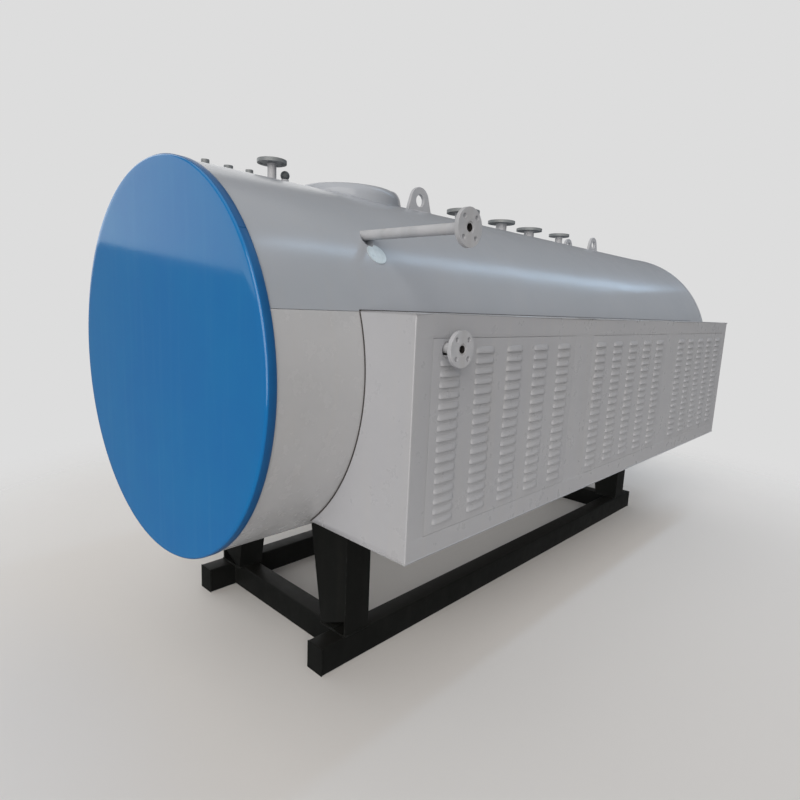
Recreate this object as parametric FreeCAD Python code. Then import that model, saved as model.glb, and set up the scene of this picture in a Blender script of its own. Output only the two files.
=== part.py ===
import FreeCAD, Part
import os
from math import acos, atan2, cos, hypot, radians, sin, sqrt

from FreeCAD import Vector

# Horizontal electric boiler: an insulated drum on a steel skid, with a heater cabinet along
# its right side and its nozzles on the crown. Millimetres, +Z up, +Y from front to rear.
# The numbers below are laid out from the drum's axis (x = 0), the face of the front cover
# (y = 0) and the floor (z = 0); every piece is moved to the boiler's own origin, the middle
# of its bounding box at floor level, when it is written.

# Drum
drum_length = 4743.0
cover_radius = 850.0
cover_sheet = 4.0
cover_rim = 41.0
drum_radius = cover_radius - cover_sheet
drum_wall = 100.0
axis_height = 1431.0
crown = axis_height + drum_radius

# Skid
skid_half_width = 579.0
beam_width = 110.0
beam_height = 140.0
beam_wall = 8.0
end_plate = 6.0
skid_front = 477.0
skid_rear = 4039.0
skid_middle = (skid_front + skid_rear) / 2
saddle_spread = 1560.0

# Saddle legs
leg_length = 156.0
leg_outer = skid_half_width - 7.0
leg_inner = 390.0
leg_slope = 0.186
leg_plate = 10.0
leg_notch_height = 75.0

# Heater cabinet
cabinet_side = 1100.0
cabinet_front = 442.0
cabinet_rear = 4366.0
cabinet_bottom = 763.0
cabinet_top = 1696.0
cabinet_sheet = 4.0
cabinet_frame = 8.0
cabinet_middle = (cabinet_front + cabinet_rear) / 2
louvre_panel_width = 1110.0
louvre_panel_height = 765.0
louvre_panel_pitch = 1310.0
panel_gap = 3.0
panel_rebate = 12.0

# Gauge connections
gauge_y = 624.0
gauge_low_share = 0.17
gauge_high_share = 0.68
gauge_low = axis_height + gauge_low_share * drum_radius
gauge_high = axis_height + gauge_high_share * drum_radius
gauge_face = cabinet_side + 72.0
gauge_pipe_radius = 21.0
gauge_pipe_bore = 15.0
panel_cutout_radius = 34.0
panel_cutout_drop = 9.0
pocket_radius = 30.0
pocket_drop = 17.0
pocket_depth = 20.0
collar_radius = 48.0
collar_drop = 78.0
collar_shift = 12.0
collar_sheet = 4.0

# Flanges: radius, bolt circle radius, hole radius, number of holes, thickness
flange_32 = (70.0, 50.0, 9.0, 4, 18.0)
flange_50 = (82.5, 62.5, 9.0, 4, 20.0)
flange_65 = (97.5, 77.5, 9.0, 8, 20.0)
flange_100 = (110.0, 90.0, 9.0, 8, 22.0)
pipe_setback = 4.0

# Nozzles on the crown: y, height of the flange face above the crown, pipe radius, bore, flange
nozzle_front = (579.0, 104.0, 21.0, 16.0, flange_32)
nozzle_steam = (2075.0, 90.0, 54.0, 49.0, flange_100)
nozzle_safety_front = (2531.0, 82.0, 38.0, 34.0, flange_65)
nozzle_safety_rear = (2913.0, 76.0, 38.0, 34.0, flange_65)
nozzle_feed = (3384.0, 89.0, 28.5, 25.0, flange_50)

# Dome
dome_y = 1055.0
dome_radius = 280.0
dome_height = 50.0
dome_rise = 10.0
dome_knuckle = 48.0

# Lifting lugs: y, height above the crown, rounding radius, eye radius, half width at the foot
lug_offset = 116.0
lug_plate = 20.0
lugs_front = (1505.0, 127.0, 76.0, 34.0, 107.0)
lugs_rear = (3770.0, 100.0, 62.0, 30.0, 88.0)

# Small couplings on the crown: y, radius, height above the crown
couplings = ((239.0, 17.5, 37.0), (350.0, 20.5, 33.0), (457.0, 17.5, 35.0))
coupling_bore = 0.6
plug_y = 654.0
plug_radius = 22.0
plug_centre = 46.0
plug_seat = 28.0
plug_coupling_radius = 18.0

# Origin of the finished boiler
middle_x = (gauge_face - cover_radius) / 2
middle_y = drum_length / 2

os.makedirs("parts", exist_ok=True)


def save(name, *solids):
    """Writes one node, moved to the boiler's origin."""
    shape = solids[0] if len(solids) == 1 else Part.makeCompound(list(solids))
    moved = shape.copy()
    moved.translate(Vector(-middle_x, -middle_y, 0))
    moved.exportStep("parts/" + name + ".step")


def block(x0, x1, y0, y1, z0, z1):
    """A box between two corners."""
    return Part.makeBox(x1 - x0, y1 - y0, z1 - z0, Vector(x0, y0, z0))


def rod(radius, start, end):
    """A round bar from one point to another."""
    way = end - start
    return Part.makeCylinder(radius, way.Length, start, way)


def prism(corners, y0, y1):
    """A plate with the given outline of (x, z) corners, between two y positions."""
    points = [Vector(x, y0, z) for x, z in corners]
    face = Part.Face(Part.makePolygon(points + points[:1]))
    return face.extrude(Vector(0, y1 - y0, 0))


def drum_bar(radius, y0, y1):
    """A round bar on the drum's axis."""
    return rod(radius, Vector(0, y0, axis_height), Vector(0, y1, axis_height))


def mirrored(shape):
    """The same piece on the other side of the drum."""
    return shape.mirror(Vector(0, 0, 0), Vector(1, 0, 0))


drum_envelope = drum_bar(drum_radius, 0, drum_length)


# Skid: two box beams along the drum, closed at each end with a welded plate.
def box_beam(x0, x1, y0, y1, along_y):
    """A rectangular tube lying on the floor, open at both ends."""
    outer = block(x0, x1, y0, y1, 0, beam_height)
    if along_y:
        inner = block(x0 + beam_wall, x1 - beam_wall, y0, y1, beam_wall, beam_height - beam_wall)
    else:
        inner = block(x0, x1, y0 + beam_wall, y1 - beam_wall, beam_wall, beam_height - beam_wall)
    return outer.cut(inner)


beam_inside = skid_half_width - beam_width
beam_front = skid_front + end_plate
beam_rear = skid_rear - end_plate
beam_right = box_beam(beam_inside, skid_half_width, beam_front, beam_rear, True)
save("skid_beam_right", beam_right)
save("skid_beam_left", mirrored(beam_right))

end_plates = []
for y0 in (skid_front, beam_rear):
    plate = block(beam_inside, skid_half_width, y0, y0 + end_plate, 0, beam_height)
    end_plates += [plate, mirrored(plate)]
save("skid_end_plates", *end_plates)

# Two cross-beams of the same tube tie the long beams together under the saddle legs.
saddle_rows = {"front": skid_middle - saddle_spread, "rear": skid_middle + saddle_spread}
for row, y in saddle_rows.items():
    y0 = y - beam_width / 2
    y1 = y + beam_width / 2
    save("cross_beam_" + row, box_beam(-beam_inside, beam_inside, y0, y1, False))


# Saddle legs: box legs of plate, wider towards the top, cut to the drum above and standing
# on the skid. The end plate of each leg has a slanted opening at its outer foot.
leg_top_spare = 20      # the leg's blank runs this far above the drum's skin before it is cut


def saddle_leg(y, open_end):
    """A leg on the right side, with its opening at the front (-1) or at the rear (+1)."""
    top = axis_height - sqrt(drum_radius ** 2 - leg_outer ** 2) + leg_top_spare
    rise = top - beam_height
    y0 = y - leg_length / 2
    y1 = y + leg_length / 2
    outside = [(leg_outer, beam_height), (leg_inner, beam_height),
               (leg_inner - leg_slope * rise, top), (leg_outer, top)]
    side = leg_plate * hypot(1, leg_slope)
    x_out = leg_outer - leg_plate
    inside = [(x_out, beam_height), (leg_inner + side, beam_height),
              (leg_inner + side - leg_slope * rise, top), (x_out, top)]
    leg = prism(outside, y0, y1).cut(prism(inside, y0 + leg_plate, y1 - leg_plate))
    notch = [(leg_inner + side, beam_height), (x_out, beam_height),
             (x_out, beam_height + leg_notch_height)]
    if open_end < 0:
        leg = leg.cut(prism(notch, y0, y0 + leg_plate))
    else:
        leg = leg.cut(prism(notch, y1 - leg_plate, y1))
    return leg.cut(drum_envelope)


cabinet_space = block(0, cabinet_side, cabinet_front, cabinet_rear, cabinet_bottom, cabinet_top)
for row, open_end in (("front", -1), ("rear", 1)):
    leg = saddle_leg(saddle_rows[row], open_end)
    save("saddle_leg_" + row + "_left", mirrored(leg))
    save("saddle_leg_" + row + "_right", leg.cut(cabinet_space))

# Drum: an insulated wall in two sheet-clad halves that meet level with the cabinet's top,
# under a flanged cover at each end.
wall = drum_bar(drum_radius, cover_sheet, drum_length - cover_sheet)
wall = wall.cut(drum_bar(drum_radius - drum_wall, 0, drum_length))
above_seam = block(-2 * drum_radius, 2 * drum_radius, 0, drum_length, cabinet_top, 2 * crown)
upper = wall.common(above_seam)
pocket_z = gauge_high - pocket_drop
gauge_pipe_root = sqrt(drum_radius ** 2 - (gauge_high - axis_height) ** 2) - pocket_depth
pipe_pocket = rod(pocket_radius, Vector(gauge_pipe_root, gauge_y, pocket_z),
                  Vector(cabinet_side, gauge_y, pocket_z))
pipe_pocket = pipe_pocket.fuse(rod(gauge_pipe_radius, Vector(gauge_pipe_root, gauge_y, gauge_high),
                                   Vector(cabinet_side, gauge_y, gauge_high)))
save("drum_jacket_upper", upper.cut(pipe_pocket))
save("drum_jacket_lower", wall.cut(above_seam))


def end_cover(face_y, inward):
    """A flat round cover whose rim laps over the end of the drum."""
    rim = drum_bar(cover_radius, min(face_y, face_y + inward * cover_rim),
                   max(face_y, face_y + inward * cover_rim))
    back = face_y + inward * cover_sheet
    hollow = drum_bar(drum_radius, min(back, back + inward * cover_rim),
                      max(back, back + inward * cover_rim))
    return rim.cut(hollow)


save("front_cover", end_cover(0.0, 1))
save("rear_cover", end_cover(drum_length, -1))

# Heater cabinet: folded sheet panels closed against the drum, and a side frame with three
# openings that hold the louvred panels.
frame_inner = cabinet_side - cabinet_frame
end_y = {"front": cabinet_front, "rear": cabinet_rear - cabinet_sheet}
for end, y0 in end_y.items():
    panel = block(beam_inside, frame_inner, y0, y0 + cabinet_sheet, cabinet_bottom, cabinet_top)
    save("cabinet_" + end + "_panel", panel.cut(drum_envelope))
inner_front = cabinet_front + cabinet_sheet
inner_rear = cabinet_rear - cabinet_sheet
for side, z0 in (("top", cabinet_top - cabinet_sheet), ("bottom", cabinet_bottom)):
    panel = block(beam_inside, frame_inner, inner_front, inner_rear, z0, z0 + cabinet_sheet)
    save("cabinet_" + side + "_panel", panel.cut(drum_envelope))

frame = block(frame_inner, cabinet_side, cabinet_front, cabinet_rear, cabinet_bottom, cabinet_top)
panel_middle_z = (cabinet_bottom + cabinet_top) / 2
sheet_back = cabinet_side - cabinet_sheet
for step, place in ((-1, "front"), (0, "middle"), (1, "rear")):
    y0 = cabinet_middle + step * louvre_panel_pitch - louvre_panel_width / 2
    y1 = y0 + louvre_panel_width
    z0 = panel_middle_z - louvre_panel_height / 2
    z1 = z0 + louvre_panel_height
    frame = frame.cut(block(sheet_back, cabinet_side, y0, y1, z0, z1))
    frame = frame.cut(block(frame_inner, cabinet_side, y0 + panel_rebate, y1 - panel_rebate,
                            z0 + panel_rebate, z1 - panel_rebate))
    panel = block(sheet_back, cabinet_side, y0 + panel_gap, y1 - panel_gap,
                  z0 + panel_gap, z1 - panel_gap)
    if place == "front":
        cutout_z = gauge_low - panel_cutout_drop
        panel = panel.cut(rod(panel_cutout_radius, Vector(frame_inner, gauge_y, cutout_z),
                              Vector(gauge_face, gauge_y, cutout_z)))
    save("louvre_panel_" + place, panel)
save("cabinet_side_frame", frame)


# Flanges: flat rings slipped over the end of their pipe, with bolt holes clear of the
# centre lines. Each is made standing on z = 0 and then placed.
def flange_ring(size, pipe_radius):
    """A flange facing +Z, its face at z = 0, for a pipe of the given radius."""
    radius, circle, hole, count, thickness = size
    ring = Part.makeCylinder(radius, thickness, Vector(0, 0, -thickness))
    ring = ring.cut(Part.makeCylinder(pipe_radius, thickness, Vector(0, 0, -thickness)))
    for k in range(count):
        turn = radians(360.0 * (k + 0.5) / count)
        at = Vector(circle * cos(turn), circle * sin(turn), -thickness)
        ring = ring.cut(Part.makeCylinder(hole, thickness, at))
    return ring


# Gauge connections: two pipes that run out sideways to flanges standing one above the other.
def gauge_pipe(z, root):
    """A pipe along X from its root to just behind the flange face."""
    start = Vector(root, gauge_y, z)
    end = Vector(gauge_face - pipe_setback, gauge_y, z)
    return rod(gauge_pipe_radius, start, end).cut(rod(gauge_pipe_bore, start, end))


def gauge_flange(z):
    """A flange facing +X."""
    ring = flange_ring(flange_32, gauge_pipe_radius)
    ring.rotate(Vector(0, 0, 0), Vector(0, 1, 0), 90)
    ring.translate(Vector(gauge_face, gauge_y, z))
    return ring


save("gauge_pipe_upper", gauge_pipe(gauge_high, gauge_pipe_root))
save("gauge_pipe_lower", gauge_pipe(gauge_low, gauge_pipe_root).cut(drum_envelope))
save("gauge_flange_upper", gauge_flange(gauge_high))
save("gauge_flange_lower", gauge_flange(gauge_low))

# A curved patch of sheet closes the lower part of the cut in the cladding under the upper
# gauge pipe; the cut stays open next to the pipe.
patch_z = gauge_high - collar_drop
patch_x = sqrt(drum_radius ** 2 - (patch_z - axis_height) ** 2)
outward = Vector(patch_x, 0, patch_z - axis_height).normalize()
patch_point = Vector(patch_x, gauge_y + collar_shift, patch_z)
collar_reach = 30
collar = rod(collar_radius, patch_point - outward * collar_reach,
             patch_point + outward * collar_reach)
collar = collar.common(drum_bar(drum_radius + collar_sheet, 0, drum_length))
save("pipe_collar", collar.cut(drum_envelope).cut(pipe_pocket))


# Nozzles: short pipes welded to the crown, each with a flange slipped over its end.
def nozzle(name, sizes):
    """Writes the neck and the flange of one nozzle."""
    y, height, radius, bore, flange = sizes
    foot = Vector(0, y, axis_height)
    end = Vector(0, y, crown + height - pipe_setback)
    neck = rod(radius, foot, end).cut(rod(bore, foot, end)).cut(drum_envelope)
    save(name + "_neck", neck)
    ring = flange_ring(flange, radius)
    ring.translate(Vector(0, y, crown + height))
    save(name + "_flange", ring)


nozzle("front_nozzle", nozzle_front)
nozzle("steam_nozzle", nozzle_steam)
nozzle("safety_nozzle_front", nozzle_safety_front)
nozzle("safety_nozzle_rear", nozzle_safety_rear)
nozzle("feed_nozzle", nozzle_feed)


# Dome: a low insulated cap with a dished top and a wide rounded edge, cut to the drum.
def dished_cap(radius, top, rise, knuckle):
    """A round cap standing on the drum's axis, its highest point at the given height."""
    shoulder = radius - knuckle
    bend = cos(radians(45)) * knuckle
    edge = top - rise - knuckle
    crown_arc = Part.Arc(Vector(0, 0, top), Vector(shoulder / 2, 0, top - rise / 4),
                         Vector(shoulder, 0, top - rise))
    knuckle_arc = Part.Arc(Vector(shoulder, 0, top - rise),
                           Vector(shoulder + bend, 0, edge + bend), Vector(radius, 0, edge))
    side = Part.LineSegment(Vector(radius, 0, edge), Vector(radius, 0, axis_height))
    base = Part.LineSegment(Vector(radius, 0, axis_height), Vector(0, 0, axis_height))
    back = Part.LineSegment(Vector(0, 0, axis_height), Vector(0, 0, top))
    wire = Part.Wire([c.toShape() for c in (crown_arc, knuckle_arc, side, base, back)])
    cap = Part.Face(wire).revolve(Vector(0, 0, 0), Vector(0, 0, 1), 360)
    cap.translate(Vector(0, dome_y, 0))
    return cap


dome = dished_cap(dome_radius, crown + dome_height, dome_rise, dome_knuckle)
save("dome_cap", dome.cut(drum_envelope))


# Lifting lugs: upright plates along the drum, in two pairs, with a round eye and sides that
# widen to the foot. Each blank runs below the crown before its foot is cut to the drum.
lug_foot_depth = 30


def lifting_lug(sizes):
    """A lug on the right of the crown, its foot cut to the drum."""
    y, height, radius, eye, half_base = sizes
    eye_z = crown + height - radius
    depth = eye_z - (crown - lug_foot_depth)
    reach = hypot(half_base, depth)
    turn = atan2(-depth, half_base) + acos(radius / reach)
    touch_y = radius * cos(turn)
    touch_z = radius * sin(turn)
    x0 = lug_offset - lug_plate / 2
    outline = [(-half_base, -depth), (half_base, -depth), (touch_y, touch_z), (-touch_y, touch_z)]
    points = [Vector(x0, y + a, eye_z + b) for a, b in outline]
    foot = Part.Face(Part.makePolygon(points + points[:1])).extrude(Vector(lug_plate, 0, 0))
    start = Vector(x0, y, eye_z)
    end = Vector(x0 + lug_plate, y, eye_z)
    lug = foot.fuse(rod(radius, start, end)).removeSplitter()
    return lug.cut(rod(eye, start, end)).cut(drum_envelope)


for row, sizes in (("front", lugs_front), ("rear", lugs_rear)):
    lug = lifting_lug(sizes)
    save("lifting_lugs_" + row, lug, mirrored(lug))


# Couplings: three open half-couplings and a fourth closed by a round plug.
def coupling(y, radius, height):
    """A short threaded socket on the crown."""
    foot = Vector(0, y, axis_height)
    end = Vector(0, y, crown + height)
    bore = rod(radius * coupling_bore, foot, end)
    return rod(radius, foot, end).cut(bore).cut(drum_envelope)


save("crown_couplings", *[coupling(*sizes) for sizes in couplings])
save("plugged_coupling", coupling(plug_y, plug_coupling_radius, plug_seat))
ball = Part.makeSphere(plug_radius, Vector(0, plug_y, crown + plug_centre))
below = block(-plug_radius, plug_radius, plug_y - plug_radius, plug_y + plug_radius,
              crown, crown + plug_seat)
save("coupling_plug", ball.cut(below))
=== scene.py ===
import bmesh
import bpy
import numpy as np
from mathutils import Matrix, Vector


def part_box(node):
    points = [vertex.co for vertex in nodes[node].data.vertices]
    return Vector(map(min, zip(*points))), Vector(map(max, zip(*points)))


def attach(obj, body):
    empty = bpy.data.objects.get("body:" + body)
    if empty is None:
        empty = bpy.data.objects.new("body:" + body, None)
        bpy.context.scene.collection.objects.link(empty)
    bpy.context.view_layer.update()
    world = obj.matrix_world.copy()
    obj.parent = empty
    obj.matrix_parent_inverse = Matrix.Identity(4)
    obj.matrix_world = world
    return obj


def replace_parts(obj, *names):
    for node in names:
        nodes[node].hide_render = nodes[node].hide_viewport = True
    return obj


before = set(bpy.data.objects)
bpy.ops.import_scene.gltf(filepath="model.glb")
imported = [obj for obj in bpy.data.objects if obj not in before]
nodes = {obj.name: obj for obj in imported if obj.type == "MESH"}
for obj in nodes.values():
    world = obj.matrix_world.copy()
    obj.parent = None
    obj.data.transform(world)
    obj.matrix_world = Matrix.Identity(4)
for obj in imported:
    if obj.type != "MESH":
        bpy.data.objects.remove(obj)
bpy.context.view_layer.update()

# ---- Skid: rails and cross ties -----------------------------------------------------------
# Two long rails and two cross ties of cold-formed box section, about 8 mm thick, with capped
# ends, welded at the corners and brushed with black alkyd paint that yard dust settles on.
MM = 0.001


def linear(hex_colour):
    """An sRGB hex colour as linear red, green, blue and alpha."""
    channels = np.array([int(hex_colour[k:k + 2], 16) for k in (1, 3, 5)]) / 255
    light = np.where(channels <= 0.04045, channels / 12.92, ((channels + 0.055) / 1.055) ** 2.4)
    return (*light.tolist(), 1.0)


def add(tree, kind, inputs=(), **settings):
    """Adds one shader node. Settings are its properties; inputs gives each socket a value, or
    another node's output that is linked to it."""
    made = tree.nodes.new(kind)
    for name, value in settings.items():
        setattr(made, name, value)
    for socket, value in dict(inputs).items():
        if isinstance(value, bpy.types.NodeSocket):
            tree.links.new(value, made.inputs[socket])
        else:
            made.inputs[socket].default_value = value
    return made


def paint(name, colour, faded, dust, film, gloss, sheen_level, patch=600 * MM, mottle=0.45,
          dust_amount=0.5, streak=0.25, wave=0.8 * MM, wave_size=420 * MM, peel=0.12 * MM,
          worn=None, worn_radius=5 * MM):
    """Sprayed or brushed paint on steel. The colour drifts to a faded tone in patches and in
    thin runs down the wall, dust lies on faces that look up, and where a worn colour is given
    the film is rubbed through along sharp edges. The bump is the sheet's slow waviness and
    the film's fine orange peel. film is the paint's roughness, gloss how much it varies."""
    # Runs are about 45 mm across and drawn out to about 0.8 m.
    runs_per_metre = (22.0, 22.0, 1.3)
    grain = 70 * MM
    made = bpy.data.materials.new(name)
    made.use_nodes = True
    tree = made.node_tree
    tree.nodes.clear()
    place = add(tree, "ShaderNodeTexCoord").outputs["Object"]
    patches = add(tree, "ShaderNodeTexNoise", {"Vector": place, "Scale": 1 / patch, "Detail": 5.0,
                                               "Roughness": 0.6})
    tone = add(tree, "ShaderNodeMapRange", {"Value": patches.outputs["Fac"], 1: 0.36, 2: 0.68,
                                            3: 0.0, 4: mottle}, interpolation_type="SMOOTHSTEP")
    base = add(tree, "ShaderNodeMix", {0: tone.outputs[0], 6: linear(colour), 7: linear(faded)},
               data_type="RGBA")
    drawn = add(tree, "ShaderNodeMapping", {"Vector": place, "Scale": runs_per_metre})
    runs = add(tree, "ShaderNodeTexNoise", {"Vector": drawn.outputs[0], "Scale": 1.0,
                                            "Detail": 3.0})
    run_share = add(tree, "ShaderNodeMapRange", {"Value": runs.outputs["Fac"], 1: 0.5, 2: 0.8,
                                                 3: 0.0, 4: streak})
    streaked = add(tree, "ShaderNodeMix", {0: run_share.outputs[0], 6: base.outputs[2],
                                           7: linear(dust)}, data_type="RGBA")
    facing = add(tree, "ShaderNodeNewGeometry")
    upright = add(tree, "ShaderNodeSeparateXYZ", {0: facing.outputs["Normal"]})
    grains = add(tree, "ShaderNodeTexNoise", {"Vector": place, "Scale": 1 / grain,
                                              "Detail": 8.0, "Roughness": 0.65})
    up_share = add(tree, "ShaderNodeMapRange", {"Value": upright.outputs[2], 1: 0.55, 2: 1.0,
                                                3: 0.0, 4: dust_amount})
    lying = add(tree, "ShaderNodeMath", {0: up_share.outputs[0], 1: grains.outputs["Fac"]},
                operation="MULTIPLY")
    dusty = add(tree, "ShaderNodeMix", {0: lying.outputs[0], 6: streaked.outputs[2],
                                        7: linear(dust)}, data_type="RGBA")
    surface = dusty.outputs[2]
    if worn:
        soft = add(tree, "ShaderNodeBevel", {"Radius": worn_radius}, samples=4)
        same = add(tree, "ShaderNodeVectorMath", {0: soft.outputs[0], 1: facing.outputs["Normal"]},
                   operation="DOT_PRODUCT")
        edge = add(tree, "ShaderNodeMapRange", {"Value": same.outputs["Value"], 1: 0.995, 2: 0.90,
                                                3: 0.0, 4: 1.0})
        rubbed = add(tree, "ShaderNodeMapRange", {"Value": grains.outputs["Fac"], 1: 0.5, 2: 0.62,
                                                  3: 0.0, 4: 0.8})
        bare = add(tree, "ShaderNodeMath", {0: edge.outputs[0], 1: rubbed.outputs[0]},
                   operation="MULTIPLY")
        surface = add(tree, "ShaderNodeMix", {0: bare.outputs[0], 6: surface, 7: linear(worn)},
                      data_type="RGBA").outputs[2]
    film_drift = add(tree, "ShaderNodeMapRange", {"Value": grains.outputs["Fac"], 1: 0.3, 2: 0.7,
                                                  3: film - gloss, 4: film + gloss})
    waves = add(tree, "ShaderNodeTexNoise", {"Vector": place, "Scale": 1 / wave_size,
                                             "Detail": 1.0})
    waved = add(tree, "ShaderNodeBump", {"Height": waves.outputs["Fac"], "Distance": wave,
                                         "Strength": 1.0})
    # Orange peel is 2 to 3 mm across; it is drawn at 12 mm, the least that shows.
    grit = add(tree, "ShaderNodeTexNoise", {"Vector": place, "Scale": 1 / (12 * MM),
                                            "Detail": 1.0})
    peeled = add(tree, "ShaderNodeBump", {"Height": grit.outputs["Fac"], "Distance": peel,
                                          "Normal": waved.outputs[0], "Strength": 1.0})
    shader = add(tree, "ShaderNodeBsdfPrincipled", {"Base Color": surface, "IOR": 1.5,
                                                    "Specular IOR Level": sheen_level,
                                                    "Roughness": film_drift.outputs[0],
                                                    "Normal": peeled.outputs[0]})
    add(tree, "ShaderNodeOutputMaterial", {"Surface": shader.outputs[0]})
    return made


crease_angle = 32.0


def piece(name, points, faces, material, crease=crease_angle):
    """A finished piece: doubled points merged, faces turned outwards, edges sharper than the
    crease left hard, riding on the boiler."""
    mesh = bpy.data.meshes.new(name)
    mesh.from_pydata(np.asarray(points, float).reshape(-1, 3).tolist(), [], faces)
    work = bmesh.new()
    work.from_mesh(mesh)
    bmesh.ops.remove_doubles(work, verts=work.verts, dist=1e-6)
    bmesh.ops.dissolve_degenerate(work, edges=work.edges, dist=1e-7)
    if work.calc_volume(signed=True) < 0 and all(edge.is_manifold for edge in work.edges):
        bmesh.ops.reverse_faces(work, faces=work.faces)
    work.to_mesh(mesh)
    work.free()
    mesh.shade_smooth()
    mesh.set_sharp_from_angle(angle=np.radians(crease))
    made = bpy.data.objects.new(name, mesh)
    bpy.context.scene.collection.objects.link(made)
    mesh.materials.append(material)
    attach(made, "root")
    return made


def box_corners(node):
    """A node's lowest and highest corners as arrays."""
    return [np.array(corner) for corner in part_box(node)]


def between(rows, columns, first=0, around=False):
    """Quads joining the points of a grid that is stored row by row; around also joins each
    row's end to its start."""
    across = np.arange(columns if around else columns - 1)
    low = first + np.arange(rows - 1)[:, None] * columns + across[None, :]
    next_low = first + np.arange(rows - 1)[:, None] * columns + (across[None, :] + 1) % columns
    return np.stack([low, next_low, next_low + columns, low + columns], -1).reshape(-1, 4)


def closed_faces(rows, count):
    """The faces of a tube whose closed rings are stored row by row, with one face on each end."""
    faces = between(rows, count, around=True).tolist()
    faces.append(np.arange(count)[::-1].tolist())
    faces.append(((rows - 1) * count + np.arange(count)).tolist())
    return faces


def carried(loop, origins, across, upward):
    """A closed loop of (a, b) points carried along a path: each path point's origin plus a times
    its across direction and b times its upward direction. Both ends are closed by one face."""
    loop = np.asarray(loop, float)
    points = (np.asarray(origins)[:, None] + loop[None, :, :1] * np.asarray(across)[:, None]
              + loop[None, :, 1:] * np.asarray(upward)[:, None])
    return points.reshape(-1, 3), closed_faces(*points.shape[:2])


def rounded_box_loop(width, height, radius, steps=5):
    """A rectangle's outline with quarter-circle corners, centred on (0, 0)."""
    turns = np.linspace(0, np.pi / 2, steps)
    spans = [(1, 1, 0), (-1, 1, 1), (-1, -1, 2), (1, -1, 3)]
    quarters = []
    for sx, sz, quarter in spans:
        turned = np.stack([np.cos(turns + quarter * np.pi / 2),
                           np.sin(turns + quarter * np.pi / 2)], -1) * radius
        quarters.append(turned + (sx * (width / 2 - radius), sz * (height / 2 - radius)))
    return np.concatenate(quarters)


def bead(path, radius, seed):
    """A weld bead along a path of points: a round section whose size ripples every
    few millimetres as the welder's hand moves on."""
    path = np.asarray(path, float)
    ahead = np.gradient(path, axis=0)
    ahead /= np.linalg.norm(ahead, axis=1)[:, None]
    some = np.where(np.abs(ahead[:, 2:]) < 0.9, [[0, 0, 1.0]], [[1.0, 0, 0]])
    side = np.cross(ahead, some)
    side /= np.linalg.norm(side, axis=1)[:, None]
    up = np.cross(side, ahead)
    length = np.concatenate([[0], np.cumsum(np.linalg.norm(np.diff(path, axis=0), axis=1))])
    swell = 1 + 0.16 * np.sin(length * 2 * np.pi / (9 * MM) + seed) \
        + 0.10 * np.sin(length * 2 * np.pi / (61 * MM) + 2 * seed)
    turns = np.linspace(0, 2 * np.pi, 8, endpoint=False)
    round_loop = np.stack([np.cos(turns), np.sin(turns)], -1) * radius
    return carried(round_loop, path, side * swell[:, None], up * swell[:, None])


def straight(start, end, step=4 * MM):
    """Points along a straight line, one every few millimetres."""
    start, end = np.asarray(start, float), np.asarray(end, float)
    count = max(2, int(np.linalg.norm(end - start) / step))
    return start + np.linspace(0, 1, count)[:, None] * (end - start)


# Black alkyd enamel, brushed over primer: nearly black with a slight green cast, semi-gloss,
# greyed by dust on top and rubbed to dull steel grey at the corners.
skid_black = paint("black_brushed_enamel", "#131413", "#191A19", "#3A3835", 0.48, 0.08, 0.10,
                   patch=260 * MM, mottle=0.7, dust_amount=0.35, streak=0.08, wave=0.25 * MM,
                   wave_size=120 * MM, peel=0.25 * MM, worn="#404342", worn_radius=5 * MM)

corner_radius = 10 * MM


def rail(node, along):
    """A closed box-section tube filling a node's box, its long edges rounded."""
    low, high = box_corners(node)
    middle = (low + high) / 2
    size = high - low
    across = np.eye(3)[1 - along]
    ends = np.array([low[along], high[along]])
    origins = np.tile(middle, (2, 1))
    origins[:, along] = ends
    loop = rounded_box_loop(size[1 - along], size[2], corner_radius)
    points, faces = carried(loop, origins, np.tile(across, (2, 1)), np.tile(np.eye(3)[2], (2, 1)))
    made = piece(node.replace("beam", "rail"), points, faces, skid_black)
    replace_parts(made, node)


for side in ("left", "right"):
    rail("skid_beam_" + side, 1)
for row in ("front", "rear"):
    rail("cross_beam_" + row, 0)


def rounded_copy(node, name, radius, material, segments=2):
    """A CAD node's solid with its loose triangles merged and its sharp edges rounded over."""
    source = nodes[node].data
    points = np.empty(len(source.vertices) * 3)
    source.vertices.foreach_get("co", points)
    corners = np.empty(len(source.loops), np.int32)
    source.loops.foreach_get("vertex_index", corners)
    made = piece(name, points, corners.reshape(-1, 3).tolist(), material)
    work = bmesh.new()
    work.from_mesh(made.data)
    bmesh.ops.remove_doubles(work, verts=work.verts, dist=2e-5)
    bmesh.ops.dissolve_limit(work, angle_limit=np.radians(0.5), verts=work.verts,
                             edges=work.edges)
    work.to_mesh(made.data)
    work.free()
    made.data.shade_smooth()
    made.data.set_sharp_from_angle(angle=np.radians(crease_angle))
    easing = made.modifiers.new("eased_edges", "BEVEL")
    easing.width = radius
    easing.segments = segments
    easing.limit_method = "ANGLE"
    easing.angle_limit = np.radians(crease_angle)
    easing.harden_normals = True
    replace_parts(made, node)


rounded_copy("skid_end_plates", "skid_caps", 2.5 * MM, skid_black)
tie_bead = 4.5 * MM
weld_start = 12 * MM
weld_sink = 1 * MM
for row, first_seed in (("front", 0), ("rear", 2)):
    low, high = box_corners("cross_beam_" + row)
    for seed, (side, x) in enumerate((("left", low[0]), ("right", high[0])), first_seed):
        top = high[2] - weld_sink
        run = np.concatenate([straight((x, low[1], weld_start), (x, low[1], top)),
                              straight((x, low[1], top), (x, high[1], top)),
                              straight((x, high[1], top), (x, high[1], weld_start))])
        keep = np.concatenate([[True], np.linalg.norm(np.diff(run, axis=0), axis=1) > 1e-6])
        points, faces = bead(run[keep], tie_bead, seed)
        piece(f"tie_weld_{row}_{side}", points, faces, skid_black)

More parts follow.
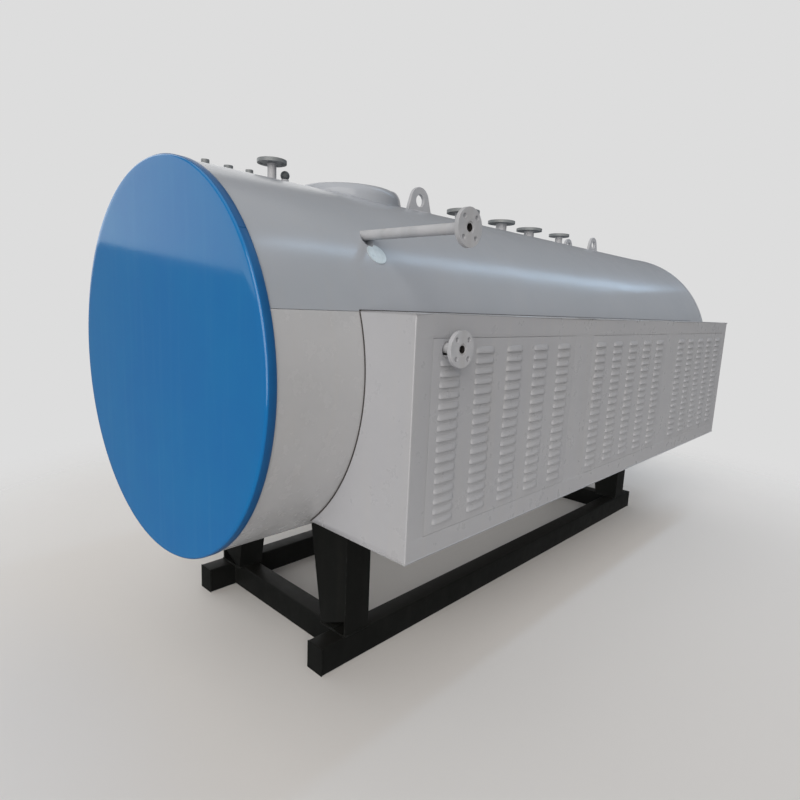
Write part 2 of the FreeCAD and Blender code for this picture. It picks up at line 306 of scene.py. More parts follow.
# ---- Saddle legs --------------------------------------------------------------------------
# Four boxed legs of 10 mm plate, flared towards the drum, flame-cut to its curve and
# fillet-welded to the rails. They carry the same brushed black as the skid.
leg_bead = 5 * MM
for row in ("front", "rear"):
    for side in ("left", "right"):
        node = f"saddle_leg_{row}_{side}"
        rounded_copy(node, f"leg_{row}_{side}", 2.5 * MM, skid_black)
        low, high = box_corners(node)
        foot_z = low[2]
        leg_mesh = nodes[node].data
        leg_points = np.empty(len(leg_mesh.vertices) * 3)
        leg_mesh.vertices.foreach_get("co", leg_points)
        leg_points = leg_points.reshape(-1, 3)
        at_foot = leg_points[leg_points[:, 2] < foot_z + 1 * MM]
        x0, x1 = at_foot[:, 0].min(), at_foot[:, 0].max()
        run = np.concatenate([straight((x0, low[1], foot_z), (x1, low[1], foot_z)),
                              straight((x1, low[1], foot_z), (x1, high[1], foot_z))[1:],
                              straight((x1, high[1], foot_z), (x0, high[1], foot_z))[1:],
                              straight((x0, high[1], foot_z), (x0, low[1], foot_z))[1:-1]])
        points, faces = bead(run, leg_bead, low[0] + low[1])
        piece(f"leg_weld_{row}_{side}", points, faces, skid_black)

# ---- Drum cladding ------------------------------------------------------------------------
# The pressure vessel is wrapped in insulation and clad in rolled steel sheet, painted pale
# grey. The upper and lower halves meet at a level seam whose lower edge is rolled inwards.
# Sprayed polyester on thin rolled sheet: a cool pale grey with a low sheen, whose slow waves
# blur what it mirrors, and which fades and gathers a little dust on top.
cladding_grey = paint("painted_cladding_sheet", "#A3A7AE", "#9AA0A7", "#A8A5A1", 0.21, 0.03, 0.32,
                      patch=900 * MM, mottle=0.5, dust_amount=0.25, streak=0.12, wave=3.0 * MM,
                      wave_size=500 * MM, peel=0.06 * MM)
nodes["drum_jacket_upper"].data.materials[0] = cladding_grey
# The same polyester on the lower sheets, which have faded less: paler, a little warmer and more
# matt.
cladding_pale = paint("painted_lower_cladding", "#B6B6B8", "#ACADAF", "#B4AFA8", 0.26, 0.04, 0.35,
                      patch=800 * MM, mottle=0.5, dust_amount=0.25, streak=0.12, wave=2.0 * MM,
                      wave_size=500 * MM, peel=0.06 * MM)

jacket_low, jacket_high = box_corners("drum_jacket_lower")
cover_low, cover_high = box_corners("front_cover")
axis_x = (cover_low[0] + cover_high[0]) / 2
axis_z = (cover_low[2] + cover_high[2]) / 2
cover_radius = (cover_high[0] - cover_low[0]) / 2
drum_radius = (jacket_high[0] - jacket_low[0]) / 2
seam_z = jacket_high[2]


def on_drum(turn, y, radius):
    """The point at an angle about the drum's axis, from +X towards +Z, at a y and a radius."""
    turn, y, radius = np.broadcast_arrays(turn, y, radius)
    return np.stack([axis_x + radius * np.cos(turn), y, axis_z + radius * np.sin(turn)], -1)


# The lower sheet's section: its arc, then at each seam an edge rolled in over a few
# millimetres and turned back to a liner.
roll = 4 * MM
liner = 30 * MM
seam_turn = np.arcsin((seam_z - axis_z) / drum_radius)
roll_share = np.linspace(0, 1, 6)
roll_drop = roll * (1 - np.sqrt(1 - (1 - roll_share) ** 2))
edge_turns = seam_turn - roll_share * roll / drum_radius
half_turns = np.linspace(edge_turns[-1], -np.pi / 2, 110)[1:]
outer_turns = np.concatenate([edge_turns, half_turns])
outer_drops = np.concatenate([roll_drop, np.zeros(len(half_turns))])
outer_turns = np.concatenate([outer_turns, -np.pi - outer_turns[-2::-1]])
outer_drops = np.concatenate([outer_drops, outer_drops[-2::-1]])
stations = np.linspace(jacket_low[1], jacket_high[1], 90)
skin = on_drum(outer_turns[None], stations[:, None], drum_radius - outer_drops[None])
back = on_drum(outer_turns[None, ::-1], stations[:, None], drum_radius - liner)
section = np.concatenate([skin, back], 1)
rows, count = section.shape[:2]
lower_cladding = piece("lower_cladding", section, closed_faces(rows, count), cladding_pale)
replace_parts(lower_cladding, "drum_jacket_lower")

# ---- Drum covers --------------------------------------------------------------------------
# A round lid of thin sheet closes each end, flat across its face, spun with a tight rolled corner
# and a rim that laps the cladding. The front one is stoved blue enamel, the rear one cladding
# grey.


def spun(profile, steps=240):
    """A profile of (distance along the drum, radius) pairs turned about the drum's axis. Its
    first and last points lie on the axis and close the piece."""
    profile = np.asarray(profile, float)
    turns = np.linspace(0, 2 * np.pi, steps, endpoint=False)
    inner = profile[1:-1]
    rings = on_drum(turns[None], inner[:, :1], inner[:, 1:])
    points = np.concatenate([rings.reshape(-1, 3), [[axis_x, profile[0, 0], axis_z],
                                                    [axis_x, profile[-1, 0], axis_z]]])
    faces = between(len(inner), steps, around=True).tolist()
    first, last = len(inner) * steps, len(inner) * steps + 1
    start = (len(inner) - 1) * steps
    across = np.arange(steps)
    faces += np.stack([np.full(steps, first), (across + 1) % steps, across], -1).tolist()
    faces += np.stack([np.full(steps, last), start + across, start + (across + 1) % steps],
                      -1).tolist()
    return points, faces


def cover_profile(face_y, rim_y, inward):
    """From the middle of the face out to the rolled corner, along the rim, and back inside."""
    corner = 11 * MM
    sheet = 2.5 * MM
    lining = 4 * MM
    turns = np.linspace(0, np.pi / 2, 7)
    face_radii = np.linspace(0, cover_radius - corner, 24)
    face = np.stack([np.full_like(face_radii, face_y), face_radii], -1)
    rolled = np.stack([face_y + inward * corner * (1 - np.cos(turns)),
                       cover_radius - corner + corner * np.sin(turns)], -1)
    rim = np.array([[rim_y - inward * sheet / 2, cover_radius],
                    [rim_y, cover_radius - sheet / 3],
                    [rim_y, cover_radius - sheet]])
    back = np.array([[face_y + inward * lining, cover_radius - lining],
                     [face_y + inward * lining, 0]])
    return np.concatenate([face, rolled[1:], rim, back])


# Stoved enamel on steel: a deep even blue, smooth and semi-gloss, with faint clouding and a
# film of dust that shows in raking light.
cover_blue = paint("blue_stoved_enamel", "#1369A8", "#1470AA", "#5F9FC0", 0.09, 0.02, 0.55,
                   patch=520 * MM, mottle=0.55, dust_amount=0.2, streak=0.05, wave=0.5 * MM,
                   wave_size=480 * MM, peel=0.05 * MM)
for name, node, face_y, rim_y, inward, material, slot in (
        ("front_lid", "front_cover", cover_low[1], cover_high[1], 1, cover_blue, "blue_enamel"),
        ("rear_lid", "rear_cover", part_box("rear_cover")[1][1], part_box("rear_cover")[0][1], -1,
         cladding_grey, "grey_cladding")):
    points, faces = spun(cover_profile(face_y, rim_y, inward))
    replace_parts(piece(name, points, faces, material), node)

# A hoop of thinner sheet is rolled round the front lid's rim, its ends butted together a little
# above the cabinet. Its enamel is air-dried, duller and more clouded than the lid's; its darker
# blue is partly painted shade on the rim.
hoop_blue_painted_shade = paint("blue_hoop_enamel_painted_shade", "#165286", "#195C92", "#4F7F9F", 0.36, 0.05, 0.25,
                  patch=200 * MM, mottle=0.6, dust_amount=0.12, streak=0.05, wave=0.6 * MM,
                  wave_size=160 * MM, peel=0.06 * MM)
hoop_sheet = 1.6 * MM
joint_turn = np.radians(38.5)
joint_gap = 1.5 * MM / cover_radius
hoop_turns = joint_turn + np.linspace(joint_gap, 2 * np.pi - joint_gap, 360)
hoop_loop = np.array([[0, 0], [0, 0.6], [0.04, 1.0], [0.96, 1.0], [1.0, 0.6], [1.0, 0]])
hoop_setback, hoop_rim = 9 * MM, 1.5 * MM
hoop_reach = np.array([cover_low[1] + hoop_setback, cover_high[1] - hoop_rim])
hoop_y = hoop_reach[0] + hoop_loop[:, 0] * np.diff(hoop_reach)
hoop_radius = cover_radius + hoop_loop[:, 1] * hoop_sheet
rings = on_drum(hoop_turns[:, None], hoop_y[None], hoop_radius[None])
rows, count = rings.shape[:2]
piece("front_lid_hoop", rings, closed_faces(rows, count), hoop_blue_painted_shade)

# ---- Heater cabinet casing ----------------------------------------------------------------
# One folded casing of 3 mm sheet stands against the drum and houses the heater banks. Its end
# walls are cut to the drum's curve, and a dark strip laid in the gap left there is painted shade
# of that gap.

# Powder coat on folded sheet: a slightly warmer grey than the cladding, more matt, with a fine
# orange peel and faint runs down the walls.
cabinet_grey = paint("cabinet_powder_coat", "#A9AAAE", "#A1A2A7", "#B2AFA9", 0.30, 0.05, 0.5,
                     patch=700 * MM, mottle=0.5, dust_amount=0.3, streak=0.16, wave=1.6 * MM,
                     wave_size=380 * MM, peel=0.04 * MM)
frame_low, frame_high = box_corners("cabinet_side_frame")
side_x = frame_high[0]
front_y, rear_y = frame_low[1], frame_high[1]
bottom_z, top_z = frame_low[2], frame_high[2]
panel_boxes = {place: box_corners("louvre_panel_" + place)
               for place in ("front", "middle", "rear")}
panel_gap = 3 * MM
casing_sheet = 3 * MM
fold_radius = 4 * MM
wall_gap = 6 * MM


def merged_lines(*groups):
    """Sorted positions without repeats."""
    return np.unique(np.round(np.concatenate([np.atleast_1d(g) for g in groups]), 7))


opening_low_z = panel_boxes["front"][0][2] - panel_gap
opening_high_z = panel_boxes["front"][1][2] + panel_gap
openings = [(box[0][1] - panel_gap, box[1][1] + panel_gap) for box in panel_boxes.values()]
z_lines = merged_lines(np.linspace(bottom_z, top_z, 42), opening_low_z, opening_high_z)
y_lines = merged_lines(front_y, rear_y, *openings)
drum_edge = axis_x + np.sqrt((drum_radius + wall_gap) ** 2 - (z_lines - axis_z) ** 2)

side_wall = np.stack(np.broadcast_arrays(side_x, y_lines[None, :], z_lines[:, None]), -1)
side_faces = between(len(z_lines), len(y_lines)).reshape(len(z_lines) - 1, len(y_lines) - 1, 4)
mid_y = (y_lines[1:] + y_lines[:-1]) / 2
mid_z = (z_lines[1:] + z_lines[:-1]) / 2
open_y = np.any([(mid_y > low) & (mid_y < high) for low, high in openings], 0)
open_z = (mid_z > opening_low_z) & (mid_z < opening_high_z)
side_faces = side_faces[~(open_z[:, None] & open_y[None, :])]
all_points, all_faces = [side_wall.reshape(-1, 3)], side_faces.tolist()
offset = side_wall.size // 3
for y, outward in ((front_y, 1), (rear_y, -1)):
    wall = np.stack([np.stack([drum_edge, np.full_like(z_lines, y), z_lines], -1),
                     np.stack([np.full_like(z_lines, side_x), np.full_like(z_lines, y), z_lines],
                              -1)], 1)
    faces = between(len(z_lines), 2, offset)
    all_points.append(wall.reshape(-1, 3))
    all_faces += faces[:, ::outward].tolist()
    offset += wall.size // 3
for row, outward in ((0, -1), (-1, 1)):
    wall = np.stack([np.stack([np.full_like(y_lines, drum_edge[row]), y_lines,
                               np.full_like(y_lines, z_lines[row])], -1),
                     np.stack([np.full_like(y_lines, side_x), y_lines,
                               np.full_like(y_lines, z_lines[row])], -1)], 1)
    faces = between(len(y_lines), 2, offset)
    all_points.append(wall.reshape(-1, 3))
    all_faces += faces[:, ::-outward].tolist()
    offset += wall.size // 3
casing = piece("cabinet_casing", np.concatenate(all_points), all_faces, cabinet_grey)
folds = casing.modifiers.new("folds", "BEVEL")
folds.width = fold_radius
folds.segments = 3
folds.limit_method = "ANGLE"
folds.angle_limit = np.radians(60)
gauge = casing.modifiers.new("sheet", "SOLIDIFY")
gauge.thickness = casing_sheet
gauge.offset = -1
gauge.use_even_offset = True
flats = casing.modifiers.new("level_flats", "WEIGHTED_NORMAL")
flats.keep_sharp = True
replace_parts(casing, "cabinet_front_panel", "cabinet_rear_panel", "cabinet_top_panel",
            "cabinet_bottom_panel", "cabinet_side_frame")

# Painted shade of the gap between the casing and the drum: a nearly black, nearly matt strip,
# greyed unevenly and dusty on top.
gap_painted_shade = paint("gap_painted_shade", "#3A3736", "#454140", "#6A6661", 0.62, 0.08, 0.3,
                      patch=80 * MM, mottle=0.4, dust_amount=0.3, streak=0.1, wave=0.1 * MM,
                      wave_size=40 * MM, peel=0.1 * MM)
gap_shade_half = (3.2 * MM, 2.6 * MM)
level_gap_shade_share = 1.7
level_gap_shade_stand = 2 * MM
gap_shade_turns = np.arcsin((np.linspace(bottom_z + fold_radius, top_z - fold_radius, 90) - axis_z)
                       / (drum_radius + wall_gap / 2))
round_turns = np.linspace(0, 2 * np.pi, 10, endpoint=False)
gap_shade_loop = np.stack([np.cos(round_turns), np.sin(round_turns)], -1) * gap_shade_half
# These dark strips run along each end wall's curve and along the top and bottom. They are painted
# shade of the gap between casing and drum.
for name, y in (("front", front_y), ("rear", rear_y)):
    path = on_drum(gap_shade_turns, y, drum_radius + wall_gap / 2)
    outward = on_drum(gap_shade_turns, y, 1.0) - on_drum(gap_shade_turns, y, 0.0)
    points, faces = carried(gap_shade_loop, path, outward, np.tile([0, 1.0, 0], (len(path), 1)))
    piece(f"cabinet_gap_shade_{name}", points, faces, gap_painted_shade)
for name, row, z in (("top", -1, top_z), ("bottom", 0, bottom_z)):
    path = np.array([[drum_edge[row] - wall_gap / 2, y, z + level_gap_shade_stand]
                     for y in (front_y, rear_y)])
    points, faces = carried(gap_shade_loop * level_gap_shade_share, path, np.tile([1.0, 0, 0], (2, 1)),
                            np.tile([0, 0, 1.0], (2, 1)))
    piece(f"cabinet_gap_shade_{name}", points, faces, gap_painted_shade)

# ---- Louvre panels ------------------------------------------------------------------------
# Three lift-out panels cool the heater terminals. Each is one sheet with five columns of
# seventeen louvres, sheared and pressed outwards so that every slot opens downwards.
column_count, column_pitch = 5, 222 * MM
row_count, row_pitch = 17, 41.6 * MM
louvre_columns = (np.arange(column_count) - (column_count - 1) / 2) * column_pitch
louvre_rows = ((row_count - 1) / 2 - np.arange(row_count)) * row_pitch
louvre_half = 62.5 * MM
louvre_height = 26 * MM
louvre_depth = 8.5 * MM
slit = 1.2 * MM
panel_reach = 1.6 * MM
panel_sheet = 2 * MM
panel_crease = 22.0
across_share = np.array([-1, -0.93, -0.8, -0.5, 0, 0.5, 0.8, 0.93, 1])
down_share = np.array([0, 0.18, 0.42, 0.72, 1.0])
lens = (1 - np.abs(across_share) ** 5) ** 0.7
swell = np.sin(down_share * np.pi / 2) ** 0.8


def louvre_panel(place, hole=None):
    """The panel as a sheet of heights over (y, z): flat between the louvres, and over each one
    a swell that grows from its root down to its lip times a lens across its width. Below
    each lip the sheet starts again at the flat, which leaves the slot open. A hole, given by its
    centre and radius, takes a block of cells out and joins their edge to a circle."""
    low, high = panel_boxes[place]
    middle = (low + high) / 2
    across, down = len(across_share), len(down_share) + 1
    columns_y = middle[1] + louvre_columns[:, None] + louvre_half * across_share
    y = np.concatenate([[low[1] - panel_reach], columns_y.ravel(), [high[1] + panel_reach]])
    lens_y = np.concatenate([[0], np.tile(lens, column_count), [0]])
    row_z = middle[2] + louvre_rows
    top = row_z + louvre_height / 2
    z = np.concatenate([top[:, None] - louvre_height * down_share,
                        top[:, None] - louvre_height - slit], 1)
    z = np.concatenate([[high[2] + panel_reach], z.ravel(), [low[2] - panel_reach]])
    swell_z = np.concatenate([[0], np.tile(np.append(swell, 0), row_count), [0]])
    height = louvre_depth * lens_y[None, :] * swell_z[:, None]
    in_slit = np.zeros(len(z) - 1, bool)
    in_slit[down - 1::down] = True
    in_louvre = np.zeros(len(y) - 1, bool)
    in_louvre[1:] = (np.arange(len(y) - 2) % across) < across - 1
    gone = in_slit[:, None] & in_louvre[None, :]
    # The pipe hole takes the first louvre's place.
    last = across + 1
    if hole is not None:
        height[:down + 1, :last + 1] = 0
        gone[down - 1, :last + 1] = False
        gone[:down, :last] = True
    points = np.stack(np.broadcast_arrays(high[0] + height, y[None, :], z[:, None]), -1)
    index = np.arange(len(z) * len(y)).reshape(len(z), len(y))
    quads = np.stack([index[:-1, :-1], index[1:, :-1], index[1:, 1:], index[:-1, 1:]], -1)
    faces = quads[~gone].tolist()
    points = points.reshape(-1, 3)
    if hole is not None:
        rim = np.concatenate([index[0, :last], index[:down, last], index[down, last:0:-1],
                              index[down:0:-1, 0]])
        towards = points[rim] - hole[:3]
        turn = np.arctan2(towards[:, 2], towards[:, 1])
        # Each point round the hole lies in its rim point's direction from the centre.
        circle = np.stack([np.full(len(rim), high[0]), hole[1] + hole[3] * np.cos(turn),
                           hole[2] + hole[3] * np.sin(turn)], -1)
        first = len(points)
        points = np.concatenate([points, circle])
        here = np.arange(len(rim))
        after = (here + 1) % len(rim)
        faces += np.stack([rim[here], first + here, first + after, rim[after]], -1).tolist()
    made = piece(f"louvred_panel_{place}", points, faces, cabinet_grey,
                 panel_crease)
    sheet = made.modifiers.new("sheet", "SOLIDIFY")
    sheet.thickness = panel_sheet
    sheet.offset = -1
    level = made.modifiers.new("level_flats", "WEIGHTED_NORMAL")
    level.keep_sharp = True
    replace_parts(made, "louvre_panel_" + place)


gauge_low_box = box_corners("gauge_flange_lower")
gauge_low_middle = (gauge_low_box[0] + gauge_low_box[1]) / 2
hole_drop, hole_radius = 7 * MM, 31 * MM
louvre_panel("front", np.array([side_x, gauge_low_middle[1], gauge_low_middle[2] - hole_drop,
                                hole_radius]))
louvre_panel("middle")
louvre_panel("rear")

# ---- Gauge connections --------------------------------------------------------------------
# Two steel pipes run out to slip-on flanges for a level gauge, one over the cladding and one
# through the cabinet. They are brush-painted grey with the rest; the bores are lined nearly black,
# partly mill scale and partly painted shade.

# Air-drying paint brushed over rough pipe: uneven and dull, dusty on top, and rubbed through to
# brownish steel along the rims.
fitting_grey = paint("brushed_fitting_paint", "#B0B1B5", "#A0A3A8", "#8C8880", 0.48, 0.10, 0.45,
                     patch=90 * MM, mottle=0.6, dust_amount=0.35, streak=0.25, wave=0.2 * MM,
                     wave_size=45 * MM, peel=0.18 * MM, worn="#6F6A62", worn_radius=3 * MM)
for node in ("gauge_pipe_upper", "gauge_pipe_lower"):
    nodes[node].data.materials[0] = fitting_grey
for node in ("gauge_flange_upper", "gauge_flange_lower"):
    rounded_copy(node, node.replace("gauge_flange", "gauge_ring"), 1.8 * MM, fitting_grey)
# Air-drying paint touched up on the patch: a colder and paler grey, smoother than the pipe's.
touched_up = paint("touched_up_patch", "#C6D2D8", "#AEBAC1", "#A9A6A0", 0.34, 0.08, 0.5,
                   patch=45 * MM, mottle=0.7, dust_amount=0.15, streak=0.1, wave=0.5 * MM,
                   wave_size=35 * MM, peel=0.15 * MM)
nodes["pipe_collar"].data.materials[0] = touched_up


def ring_path(centre, a, b, radius, steps=72):
    """Points round a circle about a centre, in the plane of two directions."""
    turns = np.linspace(0, 2 * np.pi, steps + 1)
    return centre + radius * (np.cos(turns)[:, None] * a + np.sin(turns)[:, None] * b)


gauge_bead = 4 * MM
for place in ("upper", "lower"):
    low, high = box_corners("gauge_flange_" + place)
    pipe_low, pipe_high = box_corners("gauge_pipe_" + place)
    centre = (low + high) / 2
    centre[0] = low[0]
    pipe_radius = (pipe_high[2] - pipe_low[2]) / 2
    path = ring_path(centre, np.array([0, 1.0, 0]), np.array([0, 0, 1.0]), pipe_radius)
    points, faces = bead(path, gauge_bead, centre[2])
    piece(f"gauge_weld_{place}", points, faces, fitting_grey)

# Inside each flange the bore is lined nearly black and closed a hand's width in: partly the bare
# mill scale's own colour, partly painted shade of the deep bore.
bore_scale_and_painted_shade = paint("bore_scale_and_painted_shade", "#1B1A19", "#262321", "#3A332C", 0.7, 0.1, 0.3,
                   patch=30 * MM, mottle=0.8, dust_amount=0.2, streak=0.1, wave=0.1 * MM,
                   wave_size=15 * MM, peel=0.2 * MM)
pipe_wall = 6 * MM
mouth_setback = 3 * MM


def bore_shade_cup(name, mouth, inward, radius, depth=70 * MM, wall=1 * MM, steps=32):
    """A thin cup lining a bore: open at the mouth, closed at its depth, turned about the axis
    through the mouth that points inward. A tiny face closes each side of its bottom. Its nearly
    black lining and bottom are partly painted shade of the deep bore."""
    side = np.cross(inward, [0.3, 0.5, 0.8])
    side /= np.linalg.norm(side)
    over = np.cross(inward, side)
    tip = 0.02 * radius
    profile = np.array([[depth - wall, tip], [depth - wall, radius - wall], [0, radius - wall],
                        [0, radius], [depth, radius], [depth, tip]])
    around = np.linspace(0, 2 * np.pi, steps, endpoint=False)
    spokes = np.cos(around)[:, None] * side + np.sin(around)[:, None] * over
    rings = (mouth + profile[:, :1, None] * np.asarray(inward, float)
             + profile[:, 1:, None] * spokes[None])
    piece(name, rings, closed_faces(*rings.shape[:2]), bore_scale_and_painted_shade)


for place in ("upper", "lower"):
    low, high = box_corners("gauge_flange_" + place)
    pipe_low, pipe_high = box_corners("gauge_pipe_" + place)
    mouth = np.array([high[0] - mouth_setback, *(low[1:] + high[1:]) / 2])
    bore = (pipe_high[2] - pipe_low[2]) / 2 - pipe_wall
    bore_shade_cup(f"gauge_bore_{place}", mouth, (-1.0, 0, 0), bore)

# ---- Nozzles on the crown -----------------------------------------------------------------
# Short pipe stubs with slip-on flanges take the steam main, the safety valves and the feed.
# Each stub has a weld bead at its foot and another under its flange.

# The same paint left out longer: darker and chalky, streaked, worn to grey-brown at the rims.
nozzle_grey = paint("weathered_flange_paint", "#7F8385", "#6C7073", "#94908A", 0.45, 0.10, 0.45,
                    patch=80 * MM, mottle=0.7, dust_amount=0.3, streak=0.3, wave=0.2 * MM,
                    wave_size=45 * MM, peel=0.2 * MM, worn="#5A5651", worn_radius=3 * MM)
foot_bead, foot_stand = 4.5 * MM, 1 * MM
ring_bead = 3.5 * MM


def crown_height(x):
    """The height of the drum's upper surface at an x: its axis plus a circle's rise."""
    return axis_z + np.sqrt(drum_radius ** 2 - (x - axis_x) ** 2)


for name in ("front_nozzle", "steam_nozzle", "safety_nozzle_front", "safety_nozzle_rear",
             "feed_nozzle"):
    nodes[name + "_neck"].data.materials[0] = fitting_grey
    rounded_copy(name + "_flange", name + "_ring", 2 * MM, nozzle_grey)
    low, high = box_corners(name + "_neck")
    neck_radius = (high[0] - low[0]) / 2
    middle = (low + high) / 2
    turns = np.linspace(0, 2 * np.pi, 73)
    x = middle[0] + (neck_radius + foot_stand) * np.cos(turns)
    y = middle[1] + (neck_radius + foot_stand) * np.sin(turns)
    points, faces = bead(np.stack([x, y, crown_height(x)], -1), foot_bead, middle[1])
    piece(name + "_foot_weld", points, faces, fitting_grey)
    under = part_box(name + "_flange")[0][2]
    path = ring_path(np.array([middle[0], middle[1], under]), np.array([1.0, 0, 0]),
                     np.array([0, 1.0, 0]), neck_radius)
    points, faces = bead(path, ring_bead, middle[1] + 1)
    piece(name + "_ring_weld", points, faces, fitting_grey)

# ---- Dome ---------------------------------------------------------------------------------
# The steam dome's lagged cap is spun from the cladding sheet: slightly dished, with a wide
# rounded shoulder, its wall cut to the drum and closed there by a thin flashing.
dome_low, dome_high = box_corners("dome_cap")
dome_middle = (dome_low + dome_high) / 2
dome_radius = (dome_high[0] - dome_low[0]) / 2
dome_top = dome_high[2]
shoulder = 48 * MM
dish = 10 * MM
dish_share = np.linspace(0.02, 1, 14)
bend = np.linspace(0, np.pi / 2, 12)[1:]
cap_radii = np.concatenate([dish_share * (dome_radius - shoulder),
                            dome_radius - shoulder + shoulder * np.sin(bend)])
cap_heights = np.concatenate([dome_top - dish * dish_share ** 2,
                              dome_top - dish - shoulder * (1 - np.cos(bend))])
turns = np.linspace(0, 2 * np.pi, 144, endpoint=False)
x = dome_middle[0] + cap_radii[:, None] * np.cos(turns)
y = dome_middle[1] + cap_radii[:, None] * np.sin(turns)
z = np.broadcast_to(cap_heights[:, None], x.shape)
drum_z = crown_height(x[-1])
wall_shares = (0.66, 0.33, 0.0, -0.06)
foot = [np.stack([x[-1], y[-1], drum_z + share * (z[-1] - drum_z)], -1) for share in wall_shares]
rings = np.concatenate([np.stack([x, y, z], -1), np.stack(foot)])
# The flashing turns in under the wall, below the drum's surface.
flashing_share, flashing_drop = 0.9, 20 * MM
centre = np.array([*dome_middle[:2], 0])
sunk = centre + (rings[-1] - centre) * [flashing_share, flashing_share, 1] - [0, 0, flashing_drop]
rings = np.concatenate([rings, sunk[None]])
dome_crease = 50.0
dome = piece("dome_cover", rings, closed_faces(len(rings), len(turns)), cladding_grey,
             dome_crease)
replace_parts(dome, "dome_cap")
sealant_bead, sealant_out, sealant_up = 4 * MM, 2 * MM, 1 * MM
foot_x = dome_middle[0] + (dome_radius + sealant_out) * np.cos(np.append(turns, 0))
foot_y = dome_middle[1] + (dome_radius + sealant_out) * np.sin(np.append(turns, 0))
foot_z = crown_height(foot_x) + sealant_up
points, faces = bead(np.stack([foot_x, foot_y, foot_z], -1), sealant_bead, 0.3)
piece("dome_sealant", points, faces, cladding_grey)

# ---- Lifting lugs and couplings -----------------------------------------------------------
# Flame-cut 20 mm plates welded along the crown carry the whole boiler when it is slung. The
# half-couplings beside them are turned bar, one closed by a cast-iron plug.

# Malleable cast iron, never painted: dark, grainy and dull, with dust in its skin.
plug_iron = paint("malleable_iron", "#565B5D", "#454A4C", "#6F706C", 0.58, 0.12, 0.5,
                  patch=30 * MM, mottle=0.8, dust_amount=0.4, streak=0.2, wave=0.3 * MM,
                  wave_size=20 * MM, peel=0.3 * MM)
lug_bead = 5 * MM
for row in ("front", "rear"):
    rounded_copy("lifting_lugs_" + row, "lugs_" + row, 2.5 * MM, fitting_grey)
    low, high = box_corners("lifting_lugs_" + row)
    for side, x in (("left", low[0]), ("right", high[0])):
        z = crown_height(x)
        points, faces = bead(straight((x, low[1], z), (x, high[1], z)), lug_bead, x)
        piece(f"lug_weld_{row}_{side}", points, faces, fitting_grey)
rounded_copy("crown_couplings", "half_couplings", 3 * MM, nozzle_grey, 3)
rounded_copy("plugged_coupling", "plug_seat", 1.5 * MM, fitting_grey)
nodes["coupling_plug"].data.materials[0] = plug_iron

# ---- Studio -------------------------------------------------------------------------------
# A matt pale floor in an even pale room, lit by soft lamps: one overhead, one in front, one
# behind, a box to the left, and a long strip over the rear end that gleams along the drum.
room = bpy.data.worlds.new("pale_room")
bpy.context.scene.world = room
room.use_nodes = True
room.node_tree.nodes.clear()
tree = room.node_tree
backdrop_strength = 1.0
room_strength = 0.24
ray = add(tree, "ShaderNodeLightPath")
seen = add(tree, "ShaderNodeMix", {0: ray.outputs["Is Camera Ray"], 2: room_strength,
                                   3: backdrop_strength}, data_type="FLOAT")
air = add(tree, "ShaderNodeBackground", {"Color": linear("#DDDDDD"),
                                         "Strength": seen.outputs[0]})
add(tree, "ShaderNodeOutputWorld", {"Surface": air.outputs[0]})

# The floor thins out to nothing well beyond the boiler, so its edge doesn't show.
floor_radius = 6.0
fade_from, fade_to = 2.6, 5.0
floor_material = bpy.data.materials.new("pale_floor_paint")
floor_material.use_nodes = True
tree = floor_material.node_tree
tree.nodes.clear()
matt = add(tree, "ShaderNodeBsdfDiffuse", {"Color": linear("#E8E5E2")})
clear = add(tree, "ShaderNodeBsdfTransparent")
place = add(tree, "ShaderNodeTexCoord").outputs["Object"]
distance = add(tree, "ShaderNodeVectorMath", {0: place}, operation="LENGTH")
fade = add(tree, "ShaderNodeMapRange", {"Value": distance.outputs["Value"], 1: fade_from,
                                        2: fade_to}, interpolation_type="SMOOTHSTEP")
blend = add(tree, "ShaderNodeMixShader", {0: fade.outputs[0], 1: matt.outputs[0],
                                          2: clear.outputs[0]})
add(tree, "ShaderNodeOutputMaterial", {"Surface": blend.outputs[0]})
radii = np.concatenate([[0.01], np.linspace(1, floor_radius, 12)])
turns = np.linspace(0, 2 * np.pi, 64, endpoint=False)
disc = np.stack([radii[:, None] * np.cos(turns), radii[:, None] * np.sin(turns),
                 np.zeros((len(radii), len(turns)))], -1)
floor_mesh = bpy.data.meshes.new("floor")
floor_mesh.from_pydata(disc.reshape(-1, 3).tolist(), [],
                       between(len(radii), len(turns), around=True).tolist()
                       + [np.arange(len(turns)).tolist()])
floor = bpy.data.objects.new("floor", floor_mesh)
bpy.context.scene.collection.objects.link(floor)
floor_mesh.materials.append(floor_material)
floor.visible_glossy = False


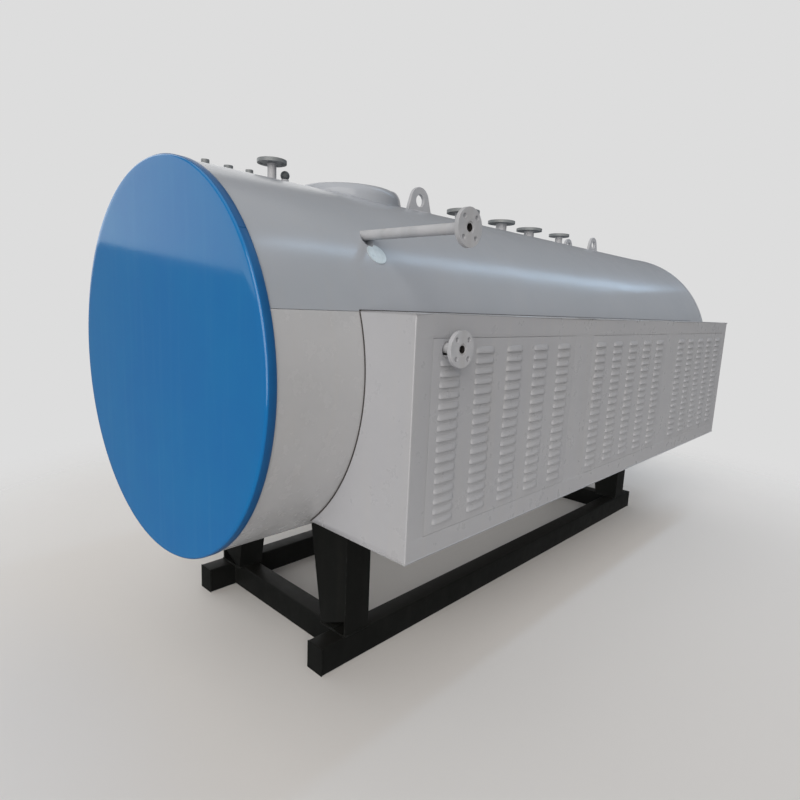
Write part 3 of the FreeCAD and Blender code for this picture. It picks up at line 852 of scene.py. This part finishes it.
def lamp(name, kind, place, aim, colour, power, **settings):
    """A lamp at a place, turned to look at another."""
    light = bpy.data.lights.new(name, kind)
    light.color = linear(colour)[:3]
    light.energy = power
    for setting, value in settings.items():
        setattr(light, setting, value)
    made = bpy.data.objects.new(name, light)
    bpy.context.scene.collection.objects.link(made)
    back = np.asarray(place, float) - np.asarray(aim, float)
    back /= np.linalg.norm(back)
    side = np.cross([0, 1.0, 0.001], back)
    side /= np.linalg.norm(side)
    turn = np.eye(4)
    turn[:3, 0], turn[:3, 1], turn[:3, 2] = side, np.cross(back, side), back
    turn[:3, 3] = place
    made.matrix_world = Matrix(turn.tolist())
    made.visible_camera = False


lamp("overhead", "SUN", (0, 0, 8), (0, 0, 0), "#FFFFFF", 0.65, angle=np.radians(80))
lamp("front_soft", "SUN", (5.2, -8.3, 3.0), (0, 0, 0), "#FFFBF6", 2.85, angle=np.radians(66))
lamp("back_soft", "SUN", (-8.6, 2.2, 2.4), (0, 0, 0), "#FFFFFF", 0.65, angle=np.radians(60))
lamp("side_box", "AREA", (-9.0, -6.5, 4.9), (0, -2.4, 1.2), "#E6F1F6", 108, shape="RECTANGLE",
     size=5.0, size_y=9.0)
lamp("strip", "AREA", (1.6, 8.0, 7.0), (1.6, 8.0, 0), "#BFE0FF", 130, shape="RECTANGLE",
     size=0.5, size_y=14.0)

# The camera stands off the front right corner at a person's eye height.
camera_data = bpy.data.cameras.new("camera")
camera = bpy.data.objects.new("camera", camera_data)
bpy.context.scene.collection.objects.link(camera)
bpy.context.scene.camera = camera
camera_data.sensor_width = 36.0
camera_data.lens = 25.30
camera_data.shift_y = 0.0036
azimuth, dip, roll_turn = 0.757, 0.171, 0.044
eye_point = (2.267, -3.3995, 1.723)
ahead = np.array([-np.sin(azimuth) * np.cos(dip), np.cos(azimuth) * np.cos(dip), -np.sin(dip)])
level = np.array([np.cos(azimuth), np.sin(azimuth), 0])
over = np.cross(level, ahead)
right = np.cos(roll_turn) * level + np.sin(roll_turn) * over
upward = -np.sin(roll_turn) * level + np.cos(roll_turn) * over
eye = np.eye(4)
eye[:3, 0], eye[:3, 1], eye[:3, 2] = right, upward, -ahead
eye[:3, 3] = eye_point
camera.matrix_world = Matrix(eye.tolist())

view = bpy.context.scene.view_settings
view.view_transform = "Standard"
view.look = "None"
